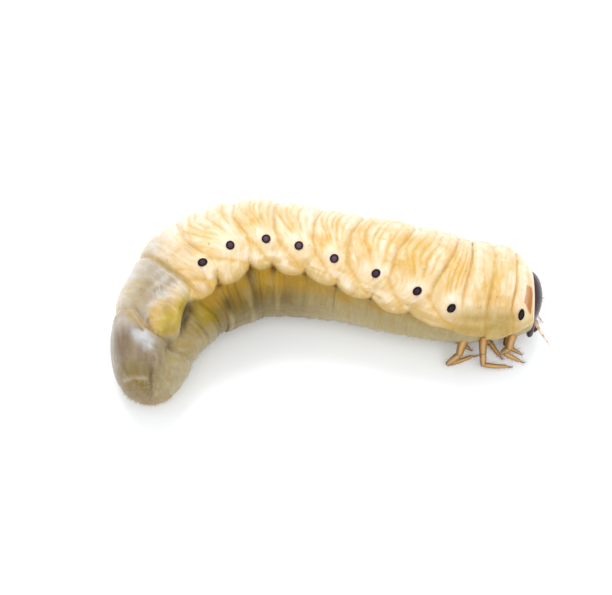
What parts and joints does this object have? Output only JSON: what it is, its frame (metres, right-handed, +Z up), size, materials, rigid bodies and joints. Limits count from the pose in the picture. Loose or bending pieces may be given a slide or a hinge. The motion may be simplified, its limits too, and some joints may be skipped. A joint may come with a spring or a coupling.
{
  "type": "cockchafer grub",
  "caption": "Full-grown cockchafer grub, a plump pale beetle larva with a dark head and short amber legs, lying on its left side with its grey tail curled",
  "frame": {"origin": "on the floor, under the middle of the grub's box", "axes": "+X runs from the tail towards the head, +Y towards the outside of the curled back, -Y into the curl, +Z up through the right flank"},
  "size_m": [0.0388, 0.0186, 0.0105],
  "materials": {
    "pale_skin": "smooth, slightly moist skin, cream with ochre folds",
    "grey_skin": "thin shiny skin with dark gut contents showing through",
    "dark_horn": "hard, glossy, nearly black",
    "amber_horn": "hard, glossy, translucent amber"
  },
  "bodies": {
    "root": {"prothorax": "pale_skin", "mesothorax": "pale_skin", "metathorax": "pale_skin", "abdomen_1": "pale_skin", "abdomen_2": "pale_skin", "abdomen_3": "pale_skin", "abdomen_4": "pale_skin", "abdomen_5": "pale_skin", "abdomen_6": "pale_skin", "abdomen_7": "pale_skin", "abdomen_8": "pale_skin", "abdomen_9": "grey_skin", "tail": "grey_skin", "head": "dark_horn", "labrum": "dark_horn", "mandible_left": "dark_horn", "mandible_right": "dark_horn", "maxilla_left": "amber_horn", "maxilla_right": "amber_horn", "antenna_left": "amber_horn", "antenna_right": "amber_horn", "foreleg_left": "amber_horn", "foreleg_right": "amber_horn", "midleg_left": "amber_horn", "midleg_right": "amber_horn", "hindleg_left": "amber_horn", "hindleg_right": "amber_horn"}
  },
  "joints": []
}
